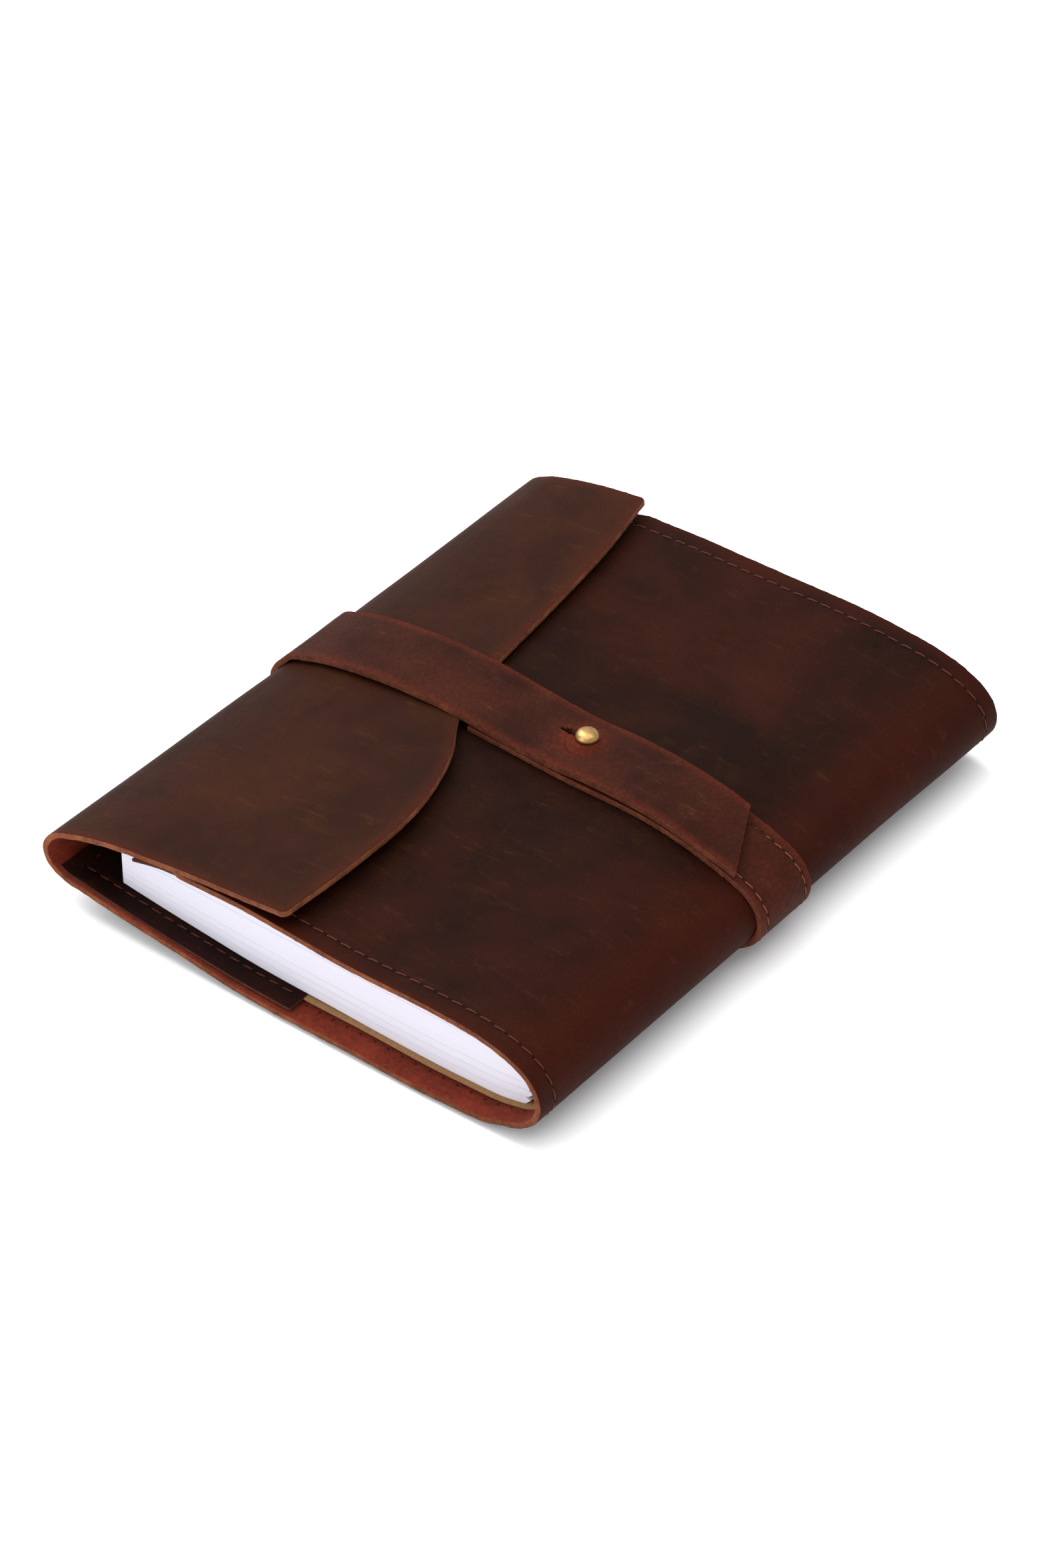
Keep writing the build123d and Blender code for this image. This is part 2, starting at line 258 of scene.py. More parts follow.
def ramp(tree, value, stops):
    made = addNode(tree, "ShaderNodeValToRGB", {"Fac": value})
    band = made.color_ramp
    while len(band.elements) < len(stops):
        band.elements.new(0.5)
    for element, (place, level) in zip(band.elements, stops):
        element.position = place
        element.color = (level, level, level, 1)
    return made.outputs["Color"]


def texture(tree, where, scale, detail=4.0, rough=0.55, distort=0.0):
    return addNode(tree, "ShaderNodeTexNoise", {"Vector": where, "Scale": scale, "Detail": detail,
                                                "Roughness": rough, "Distortion": distort}).outputs["Fac"]


def stretched(tree, where, scale):
    return addNode(tree, "ShaderNodeMapping", {"Vector": where, "Scale": scale}).outputs["Vector"]


def newGroup(name, inputs, outputs):
    group = bpy.data.node_groups.new(name, "ShaderNodeTree")
    for label, kind, value in inputs:
        socket = group.interface.new_socket(label, in_out="INPUT", socket_type=kind)
        if value is not None:
            socket.default_value = value
    for label, kind in outputs:
        group.interface.new_socket(label, in_out="OUTPUT", socket_type=kind)
    return group, group.nodes.new("NodeGroupInput").outputs, group.nodes.new("NodeGroupOutput").inputs


def makePullUpGroup():               # waxed grain: cloudy patches, rubbed light marks, creases with painted shade in them, and pores
    group, given, result = newGroup(
        "pullUpGrain",
        [("Vector", "NodeSocketVector", None), ("PoreScale", "NodeSocketFloat", 1500.0),
         ("PatchScale", "NodeSocketFloat", 22.0)],
        [("Cloud", "NodeSocketFloat"), ("Patch", "NodeSocketFloat"), ("Rub", "NodeSocketFloat"),
         ("Height", "NodeSocketFloat"), ("CreaseMask", "NodeSocketFloat")])
    where = given["Vector"]
    cloud = texture(group, where, given["PatchScale"], 5.0, 0.6, 0.4)
    patch = texture(group, where, math(group, "MULTIPLY", given["PatchScale"], 2.3), 6.0, 0.65, 0.8)
    streak = texture(group, stretched(group, where, (60, 340, 200)), 1.0, 5.0, 0.7, 0.6)
    streaks = ramp(group, streak, [(0.56, 0), (0.80, 1)])
    rub = math(group, "MULTIPLY", streaks, ramp(group, patch, [(0.42, 0), (0.68, 1)]))
    pores = addNode(group, "ShaderNodeTexVoronoi", {"Vector": where, "Scale": given["PoreScale"],
                                                    "Randomness": 1.0}).outputs["Distance"]
    creases = addNode(group, "ShaderNodeTexVoronoi", {
        "Vector": stretched(group, where, (1.0, 0.72, 1.0)),
        "Scale": math(group, "MULTIPLY", given["PoreScale"], 0.42),
        "Randomness": 1.0}, feature="DISTANCE_TO_EDGE").outputs["Distance"]
    crease = ramp(group, creases, [(0.0, 0), (0.16, 1)])
    fine = texture(group, where, 2600.0, 3.0, 0.6)
    height = math(group, "ADD", math(group, "MULTIPLY", pores, 0.35), math(group, "MULTIPLY", crease, 0.45))
    height = math(group, "ADD", height, math(group, "MULTIPLY", fine, 0.35))
    made = {"Cloud": cloud, "Patch": patch, "Rub": rub, "Height": height, "CreaseMask": crease}
    for label, value in made.items():
        group.links.new(value, result[label])
    return group


def makeStitchGroup():               # a pressed channel along a sewn row, with a hole at each stitch's end
    group, given, result = newGroup(
        "sewnRow",
        [("Along", "NodeSocketFloat", 0.0), ("Off", "NodeSocketFloat", 0.0),
         ("Pitch", "NodeSocketFloat", 5.0), ("Wide", "NodeSocketFloat", 1.1)],
        [("Channel", "NodeSocketFloat"), ("Holes", "NodeSocketFloat")])
    off = math(group, "ABSOLUTE", given["Off"])
    channel = math(group, "SUBTRACT", 1.0, math(group, "DIVIDE", off, given["Wide"]), clamp=True)
    phase = math(group, "FRACT", math(group, "DIVIDE", given["Along"], given["Pitch"]))
    toMiddle = math(group, "ABSOLUTE", math(group, "SUBTRACT", phase, 0.5))
    fromHole = math(group, "MULTIPLY", math(group, "SUBTRACT", 0.5, toMiddle), given["Pitch"])
    squares = math(group, "ADD", math(group, "POWER", fromHole, 2.0), math(group, "POWER", off, 2.0))
    away = math(group, "SQRT", squares)
    holes = math(group, "SUBTRACT", 1.0, math(group, "DIVIDE", away, 0.75), clamp=True)
    group.links.new(math(group, "SMOOTH_MIN", channel, 1.0, 0.2), result["Channel"])
    group.links.new(holes, result["Holes"])
    return group


pullUpGroup = makePullUpGroup()
stitchGroup = makeStitchGroup()


def useGroup(tree, group, inputs):
    return addNode(tree, "ShaderNodeGroup", inputs, node_tree=group).outputs


def newMaterial(name):
    material = bpy.data.materials.new(name)
    material.use_nodes = True
    tree = material.node_tree
    shader = tree.nodes["Principled BSDF"]
    where = tree.nodes.new("ShaderNodeTexCoord").outputs["Object"]
    return material, tree, shader, where


def finishShader(tree, shader, colour, rough, height, strength, distance=0.0002):
    bump = addNode(tree, "ShaderNodeBump", {"Height": height, "Strength": strength, "Distance": distance})
    tree.links.new(colour, shader.inputs["Base Color"])
    tree.links.new(rough, shader.inputs["Roughness"])
    tree.links.new(bump.outputs["Normal"], shader.inputs["Normal"])


def rowsOf(tree, rows):              # channel and hole masks for all the sewn rows of a piece
    attribute = addNode(tree, "ShaderNodeAttribute", attribute_name="seamMap").outputs["Vector"]
    parts = addNode(tree, "ShaderNodeSeparateXYZ", {"Vector": attribute}).outputs
    channel = holes = None
    for sewn in rows:
        inside = math(tree, "MULTIPLY", math(tree, "GREATER_THAN", parts["X"], sewn["start"]),
                      math(tree, "LESS_THAN", parts["X"], sewn["end"]))
        row = useGroup(tree, stitchGroup, {
            "Along": math(tree, "SUBTRACT", parts["X"], sewn["start"]),
            "Off": math(tree, "SUBTRACT", parts["Y"], sewn["across"]), "Pitch": sewn["pitch"]})
        thisChannel = math(tree, "MULTIPLY", row["Channel"], inside)
        thisHoles = math(tree, "MULTIPLY", row["Holes"], inside)
        channel = thisChannel if channel is None else math(tree, "MAXIMUM", channel, thisChannel)
        holes = thisHoles if holes is None else math(tree, "MAXIMUM", holes, thisHoles)
    return channel, holes


def grainLeather(name, look, rows=()):
    material, tree, shader, where = newMaterial(name)
    scales = {"PoreScale": look["pores"], "PatchScale": look["patches"]}
    grain = useGroup(tree, pullUpGroup, dict(scales, Vector=where))
    near = addNode(tree, "ShaderNodeAttribute", attribute_name="edgeNear").outputs["Fac"]
    colour = mixColour(tree, ramp(tree, grain["Cloud"], [(0.36, 0), (0.64, 1)]), look["dark"], look["base"])
    colour = mixColour(tree, ramp(tree, grain["Patch"], [(0.52, 0), (0.74, 0.75)]), colour, look["olive"])
    warm = texture(tree, where, 13.0, 4.0, 0.6, 0.3)
    colour = mixColour(tree, ramp(tree, warm, [(0.50, 0), (0.72, 0.85)]), colour, look["warm"])
    colour = mixColour(tree, math(tree, "MULTIPLY", near, look["edgeRed"]), colour, look["red"])
    colour = mixColour(tree, math(tree, "MULTIPLY", grain["Rub"], look["rub"]), colour, look["light"])
    # painted shade: the grain's creases are painted darker
    deep = math(tree, "SUBTRACT", 1.0, grain["CreaseMask"])
    colour = mixColour(tree, math(tree, "MULTIPLY", deep, look["creaseShade"]), colour, look["dark"])
    rough = math(tree, "ADD", look["rough"], math(tree, "MULTIPLY", grain["Patch"], 0.22))
    height = math(tree, "MULTIPLY", grain["Height"], look["grain"])
    if rows:
        channel, holes = rowsOf(tree, rows)
        sunk = math(tree, "ADD", math(tree, "MULTIPLY", channel, 1.6), math(tree, "MULTIPLY", holes, 2.4))
        height = math(tree, "SUBTRACT", height, sunk)
        # painted shade: the stitch holes are painted near black and the pressed channel darker, for the shade
        # in these hollows
        colour = mixColour(tree, math(tree, "MULTIPLY", holes, 0.9), colour, (0.006, 0.003, 0.002, 1))
        colour = mixColour(tree, math(tree, "MULTIPLY", channel, 0.35), colour, look["dark"])
    finishShader(tree, shader, colour, rough, height, 0.65, 0.00022)
    shader.inputs["Specular IOR Level"].default_value = look["gloss"]
    return material


def cutEdge(name, base, light, dark):      # raw cut face: packed fibres in layers, lighter than the grain
    material, tree, shader, where = newMaterial(name)
    fibre = texture(tree, where, 900.0, 5.0, 0.7, 0.5)
    blotch = texture(tree, where, 120.0, 4.0, 0.6)
    colour = mixColour(tree, ramp(tree, fibre, [(0.35, 0), (0.66, 1)]), dark, base)
    colour = mixColour(tree, ramp(tree, blotch, [(0.45, 0), (0.75, 0.8)]), colour, light)
    rough = math(tree, "ADD", 0.78, math(tree, "MULTIPLY", blotch, 0.1))
    finishShader(tree, shader, colour, rough, fibre, 0.9, 0.0004)
    shader.inputs["Specular IOR Level"].default_value = 0.10
    shader.inputs["Sheen Weight"].default_value = 0.05
    shader.inputs["Sheen Roughness"].default_value = 0.7
    shader.inputs["Sheen Tint"].default_value = (1.0, 0.6, 0.35, 1)
    return material


def fleshSide(name, base, light, dark, rows=()):   # suede: matted fibres, no shine
    material, tree, shader, where = newMaterial(name)
    nap = texture(tree, where, 700.0, 6.0, 0.72, 0.8)
    cloud = texture(tree, where, 90.0, 4.0, 0.6)
    colour = mixColour(tree, ramp(tree, nap, [(0.34, 0), (0.62, 1)]), dark, base)
    colour = mixColour(tree, ramp(tree, cloud, [(0.45, 0), (0.72, 0.7)]), colour, light)
    height = nap
    if rows:
        channel, holes = rowsOf(tree, rows)
        # painted shade: the stitch holes are painted near black for the shade inside them
        colour = mixColour(tree, math(tree, "MULTIPLY", holes, 0.92), colour, (0.02, 0.004, 0.003, 1))
        height = math(tree, "SUBTRACT", nap, math(tree, "MULTIPLY", holes, 2.0))
    rough = math(tree, "ADD", 0.88, math(tree, "MULTIPLY", cloud, 0.08))
    finishShader(tree, shader, colour, rough, height, 0.9, 0.0005)
    shader.inputs["Specular IOR Level"].default_value = 0.06
    shader.inputs["Sheen Weight"].default_value = 0.08
    shader.inputs["Sheen Roughness"].default_value = 0.75
    shader.inputs["Sheen Tint"].default_value = (1.0, 0.45, 0.3, 1)
    return material


def sewnRow(across, start, end, pitch):
    count = int(abs(end - start) / pitch)
    step = (end - start) / count
    return {"across": across, "start": start, "end": end, "pitch": step,
            "places": [start + step * (i + 0.5) for i in range(count)]}


rowInset = 6.3
footY, headY = -hide["coverEnd"] + rowInset, hide["coverEnd"] - rowInset
frontRowEnd = whereX(hideRun, -56.0, shoulderS, hideRun["end"])
backRowStart = whereX(hideRun, -83.5, foldS, middleS)
footRow = sewnRow(footY, backRowStart, frontRowEnd, 5.0)
headRow = sewnRow(headY, backRowStart, frontRowEnd, 5.0)
strapRowStart = whereX(hideRun, 60.0, foldS, spineS)
strapFootY, strapHeadY = strap["spineEdges"][0] + 3.0, strap["spineEdges"][1] - 3.0
strapFootRow = sewnRow(strapFootY, strapRowStart, shoulderS + 5.0, 4.0)
strapHeadRow = sewnRow(strapHeadY, strapRowStart, shoulderS + 8.0, 4.0)
coverRows, strapRows = (footRow, headRow), (strapFootRow, strapHeadRow)

hideLook = {"dark": (0.0078, 0.0020, 0.0010, 1), "base": (0.0150, 0.0036, 0.0015, 1),
            "olive": (0.0200, 0.0068, 0.0018, 1), "warm": (0.0290, 0.0056, 0.0020, 1),
            "red": (0.044, 0.0058, 0.0022, 1), "light": (0.105, 0.036, 0.012, 1),
            "rough": 0.50, "gloss": 0.04, "grain": 0.80, "pores": 1500.0, "patches": 42.0,
            "edgeRed": 0.5, "rub": 0.42, "creaseShade": 0.20}
flapLook = dict(hideLook, dark=(0.0180, 0.0050, 0.0024, 1), base=(0.0270, 0.0076, 0.0034, 1),
                olive=(0.0300, 0.0110, 0.0034, 1), warm=(0.0400, 0.0098, 0.0036, 1),
                red=(0.057, 0.0105, 0.0040, 1), patches=30.0)
strapLook = dict(hideLook, dark=(0.0190, 0.0046, 0.0026, 1), base=(0.0430, 0.0094, 0.0046, 1),
                 olive=(0.0340, 0.0115, 0.0045, 1), warm=(0.0640, 0.0120, 0.0055, 1),
                 red=(0.098, 0.0140, 0.0060, 1), light=(0.160, 0.052, 0.021, 1), pores=1150.0, grain=1.25,
                 patches=34.0, rub=0.5, creaseShade=0.42, rough=0.48)
pocketLook = dict(hideLook, dark=(0.0070, 0.0022, 0.0020, 1), base=(0.0150, 0.0042, 0.0030, 1), edgeRed=0.2)

coverGrain = grainLeather("coverGrain", hideLook, coverRows)
flapGrain = grainLeather("flapGrain", flapLook, coverRows)
strapGrain = grainLeather("strapGrain", strapLook, strapRows)
pocketGrain = grainLeather("pocketGrain", pocketLook, coverRows)
edgeLeather = cutEdge("edgeLeather", (0.160, 0.040, 0.0150, 1), (0.250, 0.078, 0.030, 1),
                      (0.060, 0.016, 0.008, 1))
strapEdge = cutEdge("strapEdge", (0.120, 0.027, 0.0125, 1), (0.180, 0.050, 0.021, 1),
                    (0.042, 0.011, 0.007, 1))
# painted shade: a darker copy of the cut-edge colours, for the pocket's edges in the shade inside the cover
shadedPocketEdge = cutEdge("shadedPocketEdge", (0.050, 0.015, 0.0095, 1), (0.085, 0.026, 0.014, 1),
                     (0.016, 0.006, 0.005, 1))
suede = fleshSide("suede", (0.170, 0.0195, 0.0090, 1), (0.235, 0.032, 0.014, 1),
                  (0.060, 0.0070, 0.004, 1), coverRows)


def plainPaper(name, colour, grey, leafShade):
    material, tree, shader, where = newMaterial(name)
    layer = texture(tree, stretched(tree, where, (30, 30, 3200)), 1.0, 4.0, 0.7)
    soft = texture(tree, where, 60.0, 3.0, 0.5)
    # painted shade: fine darker lines across the page edges stand for the shade between the leaves
    dark = math(tree, "MULTIPLY", ramp(tree, layer, [(0.38, 1), (0.58, 0)]), leafShade)
    mixed = mixColour(tree, dark, colour, grey)
    mixed = mixColour(tree, math(tree, "MULTIPLY", soft, 0.12), mixed, grey)
    rough = math(tree, "ADD", 0.72, math(tree, "MULTIPLY", soft, 0.1))
    finishShader(tree, shader, mixed, rough, layer, 0.35, 0.00015)
    shader.inputs["Specular IOR Level"].default_value = 0.25
    return material


def kraftCard():
    material, tree, shader, where = newMaterial("kraftCard")
    fibre = texture(tree, stretched(tree, where, (1.0, 0.35, 1.0)), 900.0, 5.0, 0.7)
    fleck = texture(tree, where, 1800.0, 2.0, 0.5)
    colour = mixColour(tree, ramp(tree, fibre, [(0.3, 0), (0.7, 1)]),
                       (0.210, 0.105, 0.043, 1), (0.310, 0.170, 0.074, 1))
    colour = mixColour(tree, ramp(tree, fleck, [(0.66, 0), (0.74, 0.6)]), colour, (0.08, 0.035, 0.015, 1))
    rough = math(tree, "ADD", 0.7, math(tree, "MULTIPLY", fibre, 0.15))
    finishShader(tree, shader, colour, rough, fibre, 0.4, 0.0001)
    shader.inputs["Specular IOR Level"].default_value = 0.25
    return material


def waxedThread(name, light, dark):
    material, tree, shader, where = newMaterial(name)
    twist = addNode(tree, "ShaderNodeTexWave", {"Vector": where, "Scale": 900.0, "Distortion": 2.0},
                    bands_direction="DIAGONAL").outputs["Fac"]
    wear = texture(tree, where, 300.0, 3.0, 0.6)
    colour = mixColour(tree, wear, dark, light)
    rough = math(tree, "ADD", 0.5, math(tree, "MULTIPLY", wear, 0.2))
    finishShader(tree, shader, colour, rough, twist, 0.6, 0.0002)
    shader.inputs["Specular IOR Level"].default_value = 0.2
    return material


def studBrass():
    material, tree, shader, where = newMaterial("studBrass")
    tarnish = texture(tree, where, 420.0, 5.0, 0.65, 0.4)
    hair = texture(tree, stretched(tree, where, (900, 5200, 900)), 1.0, 3.0, 0.6)
    colour = mixColour(tree, ramp(tree, tarnish, [(0.42, 0), (0.75, 0.8)]),
                       (0.45, 0.285, 0.105, 1), (0.22, 0.130, 0.050, 1))
    rough = math(tree, "ADD", 0.24, math(tree, "MULTIPLY", tarnish, 0.22))
    finishShader(tree, shader, colour, rough, hair, 0.12, 0.00005)
    shader.inputs["Metallic"].default_value = 1.0
    return material


paper = plainPaper("pageEdges", (0.66, 0.645, 0.72, 1), (0.52, 0.51, 0.60, 1), 0.20)
card = kraftCard()
thread = waxedThread("waxedThread", (0.110, 0.020, 0.0085, 1), (0.052, 0.0105, 0.0050, 1))
strapThread = waxedThread("strapThread", (0.210, 0.058, 0.022, 1), (0.115, 0.028, 0.013, 1))
brass = studBrass()
print("materials made")


flapEdge = smoothRun(hide["edge"], 0.5)


def flapX(y):                        # where the flap's free edge lies at a given y, its corners rounded
    low, high = 0.0, flapEdge["end"]
    for _ in range(30):
        middle = (low + high) / 2
        if onRun(flapEdge, middle)[0].x < y:
            low = middle
        else:
            high = middle
    x = onRun(flapEdge, low)[0].y
    short = hide["corner"] - min(hide["corner"], hide["flapEnd"] - abs(y))
    return x - (hide["corner"] - sqrt(max(0.0, hide["corner"] ** 2 - short ** 2)))


def crowd(v, amount=0.12):           # rows closer together at both ends
    return v - amount * sin(2 * pi * v) / pi


def hideHalfLength(s):               # a little less on the front, whose hidden free end is narrower still
    short = (hide["coverEnd"] - hide["flapEnd"]) * smooth(middleS + 40, spineS, s)
    return hide["flapEnd"] + short - 4.5 * smooth(hideRun["end"] - 22, hideRun["end"] - 9, s)


def nearCut(distance, reach=5.0):
    return max(0.0, 1.0 - distance / reach)


def makeFlapHalf():
    flat = foldS - hide["straight"]
    columns = int((middleS - flat) / hide["step"])
    lobe = int(hide["lobe"] / hide["step"])
    total = columns + lobe
    rows = int(2 * hide["flapEnd"] / hide["step"])
    edgeAt = {}

    def place(u, v):
        key = round(v, 5)
        if key not in edgeAt:
            y = hide["flapEnd"] * (1 - 2 * crowd(v))
            edgeAt[key] = whereX(hideRun, flapX(y), 0.0, foldS)
        column = u * total
        if column <= lobe:
            s = edgeAt[key] + (flat - edgeAt[key]) * column / lobe
        else:
            s = flat + (middleS - flat) * (column - lobe) / columns
        y = hideHalfLength(s) * (1 - 2 * crowd(v))
        near = max(nearCut(hideHalfLength(s) - abs(y)), nearCut(s - edgeAt[key]))
        point = onHide(s, y)
        nearTip = smooth(-60.0, -112.0, y) * smooth(-30.0, 1.0, point.x)
        point.z += 0.72 * nearTip * smooth(30.0, 36.0, point.z)
        return point, s, y, near

    piece = gridSheet("hideFlapHalf", total, rows, place)
    dress(piece, flapGrain, edgeLeather, suede)
    thicken(piece, hide["thick"], isSeam=lambda p: abs(p.x) < 0.4 and p.z < 8)
    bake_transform(piece)
    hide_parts("flap", "back_cover")
    return piece


def makeFrontHalf():
    length = hideRun["end"] - middleS
    columns = int(length / hide["step"])
    rows = int(2 * hide["coverEnd"] / hide["step"])

    def place(u, v):
        s = middleS + length * u
        y = hideHalfLength(s) * (1 - 2 * crowd(v))
        bend = smooth(shoulderS + 16, shoulderS - 6, s) * smooth(spineS - 30, spineS - 8, s)
        near = max(nearCut(hideHalfLength(s) - abs(y)), 0.75 * bend)
        return onHide(s, y), s, y, near

    piece = gridSheet("hideFrontHalf", columns, rows, place)
    dress(piece, coverGrain, edgeLeather, suede)
    thicken(piece, hide["thick"], isSeam=lambda p: abs(p.x) < 0.4 and p.z < 8)
    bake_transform(piece)
    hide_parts("front_cover")
    return piece


makeFlapHalf()
makeFrontHalf()
print("hide made")


def strapRun():                      # outer face of the strap, from the slot end's tip round to the back
    points = [(86.5, 33.1), (79.0, 36.1), (70.0, 37.7), (55.0, 38.9), (36.0, 39.5), (27.0, 39.4),
              (17.5, 38.7), (8.0, 38.8), (-7.0, 39.8), (-17.0, 40.6), (-27.0, 41.1), (-38.0, 40.2),
              (-50.0, 38.5), (-61.0, 36.9), (-73.0, 34.4)]
    start = whereX(hideRun, -81.0, 0.0, foldS)
    for i in range(24):
        place = onRun(hideRun, start + (foldS + 34 - start) * i / 23, strap["thick"] + 0.2)[0]
        points.append((place.x, place.y))
    end = whereX(hideRun, 0.0, foldS, spineS)
    for i in range(1, 8):
        place = onRun(hideRun, foldS + 34 + (end - foldS - 34) * i / 7, strap["thick"] + strap["lie"])[0]
        points.append((place.x, place.y))
    return smoothRun(points)


looseRun = strapRun()
looseFold = looseRun["lengths"][min(range(len(looseRun["points"])), key=lambda i: looseRun["points"][i].x)]
seamShift = 1000                     # keeps the loose run's distances clear of the sewn rows'


def strapSpan(x):                    # the band's two edges: it narrows from the fold to the spine
    t = (x + strap["endX"]) / (2 * strap["endX"])
    return [a + (b - a) * t for a, b in zip(strap["foldEdges"], strap["spineEdges"])]


def strapPiece(name, columns, rows, section, nearMask, isSeam, opening=None):
    # section(u, v) gives the distance along, the flat point, and a function from y to the finished point
    def place(u, v):
        s, flat, finish = section(u, v)
        low, high = strapSpan(flat.x)
        y = high + (low - high) * v
        point = finish(y)
        near = max(nearCut(min(y - low, high - y), 3.0), nearMask(s, point))
        return point, s, y, near

    piece = gridSheet(name, columns, rows, place)
    if opening:
        opening(piece)
    dress(piece, strapGrain, strapEdge, strapEdge)
    thicken(piece, strap["thick"], bevel=0.3, ragged=0.1, isSeam=isSeam)
    return piece


strapTip = {"near": 83.6, "far": 70.5}
stud = {"x": 17.5, "y": 5.0, "hole": 2.6, "slitEnd": 7.0, "slitWide": 2.3}
seamSlot = whereX(looseRun, -80.0, 0.0, looseFold)
seamPlace = onRun(looseRun, seamSlot)[0]


def slotShape(point, out):           # lips pulled up round the stud's neck and along the slit
    dx, dy = point.x - stud["x"], point.y - stud["y"]
    ring = hypot(dx, dy)
    lift = 0.95 * exp(-((ring - 3.6) / 1.5) ** 2) * (0.55 + 0.45 * smooth(3.0, -3.0, dy))
    alongSlit = smooth(stud["slitEnd"] - 2.5, stud["slitEnd"] + 2, point.x) * smooth(1.0, -2.0, dx)
    lift += 0.75 * exp(-((abs(dy) - 1.6) / 1.0) ** 2) * alongSlit
    groove = 0.65 * exp(-((ring - 6.4) / 0.8) ** 2) * smooth(1.5, -3.5, dy) * smooth(-7.0, -1.0, dx)
    return point + out * (lift - groove)


def openSlot(piece):                 # hole and slit: the faces inside the outline are removed
    mesh = piece.data

    def gap(co):                     # below zero inside the opening, in mm
        dx, dy = co.x / mm - stud["x"], co.y / mm - stud["y"]
        hole = hypot(dx, dy) - stud["hole"]
        half = stud["slitWide"] * smooth(stud["slitEnd"] - stud["x"] - 2.0, -1.0, dx)
        slit = abs(dy) - half if stud["slitEnd"] - stud["x"] < dx < 0 else 9.0
        return min(hole, slit)

    pick(piece)
    bpy.ops.object.mode_set(mode="EDIT")
    bpy.ops.mesh.select_all(action="DESELECT")
    bpy.ops.object.mode_set(mode="OBJECT")
    for face in mesh.polygons:
        face.select = gap(face.center) < 0
    bpy.ops.object.mode_set(mode="EDIT")
    bpy.ops.mesh.select_mode(type="FACE")
    bpy.ops.mesh.delete(type="FACE")
    bpy.ops.object.mode_set(mode="OBJECT")


def makeSlotEnd():
    grid = 0.5
    tipS = whereX(looseRun, strapTip["near"], 0.0, looseFold)

    def section(u, v):
        x = strapTip["far"] + (strapTip["near"] - strapTip["far"]) * v
        start = whereX(looseRun, x, 0.0, looseFold)
        s = start + (seamSlot - start) * u
        flat, out = onRun(looseRun, s)

        def finish(y):
            return slotShape(settle(Vector((flat.x, y, flat.y))), Vector((out.x, 0, out.y)))

        return s + seamShift, flat, finish

    def nearMask(s, point):
        ring = hypot(point.x - stud["x"] + 1.0, point.y - stud["y"])
        return max(1.6 * exp(-((ring - 3.0) / 4.5) ** 2), nearCut(s - seamShift - tipS, 3.0))

    low, high = strapSpan(0.0)
    columns, rows = int((seamSlot - tipS) / grid), int((high - low) / grid)
    piece = strapPiece("strapSlotEnd", columns, rows, section, nearMask,
                       lambda p: abs(p.x - seamPlace.x) < 1.2 and p.z < 33.5, openSlot)
    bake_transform(piece)
    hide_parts("strap_slot_end")
    return piece


def plainRun(name, s0, s1, onPlace, isSeam, tip=None):
    def section(u, v):
        s = s0 + (s1 - s0) * u
        flat, finish = onPlace(s)
        return s, flat, finish

    def nearMask(s, point):
        return nearCut(abs(s - tip), 3.0) if tip else 0.0

    return strapPiece(name, int(abs(s1 - s0) / strap["step"]), 50, section, nearMask, isSeam)


def onLoose(s):
    flat = onRun(looseRun, s - seamShift)[0]
    return flat, lambda y: settle(Vector((flat.x, y, flat.y)))


def onSewn(s):                       # the band lies tight on the back and the spine, looser past the shoulder
    away = strap["thick"] + strap["lie"] + 0.25 * smooth(shoulderS - 4, shoulderS + 4, s)
    return onRun(hideRun, s)[0], lambda y: onHide(s, y, away)


def makeFoldRun():
    piece = plainRun("strapFoldRun", seamSlot + seamShift, looseRun["end"] + seamShift, onLoose,
                     lambda p: (abs(p.x - seamPlace.x) < 1.2 and p.z > 25) or abs(p.x) < 0.3)
    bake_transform(piece)
    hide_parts("strap_fold", "strap_back")
    return piece


seamFrontS = whereX(hideRun, 77.5, shoulderS - 3, hideRun["end"])
studTipS = whereX(hideRun, -16.0, shoulderS, hideRun["end"])


def makeSpineRun():                  # sewn round the spine, from the back's middle to just past the shoulder
    piece = plainRun("strapSpineRun", middleS, seamFrontS, onSewn,
                     lambda p: (abs(p.x - 77.9) < 1.3 and p.z > 25) or abs(p.x) < 0.3)
    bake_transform(piece)
    return piece


def makeStudEnd():
    piece = plainRun("strapStudEnd", seamFrontS, studTipS, onSewn, lambda p: abs(p.x - 77.9) < 1.3, studTipS)
    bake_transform(piece)
    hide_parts("strap_stud_end")
    return piece


makeSlotEnd()
makeFoldRun()
makeSpineRun()
makeStudEnd()
print("strap made")


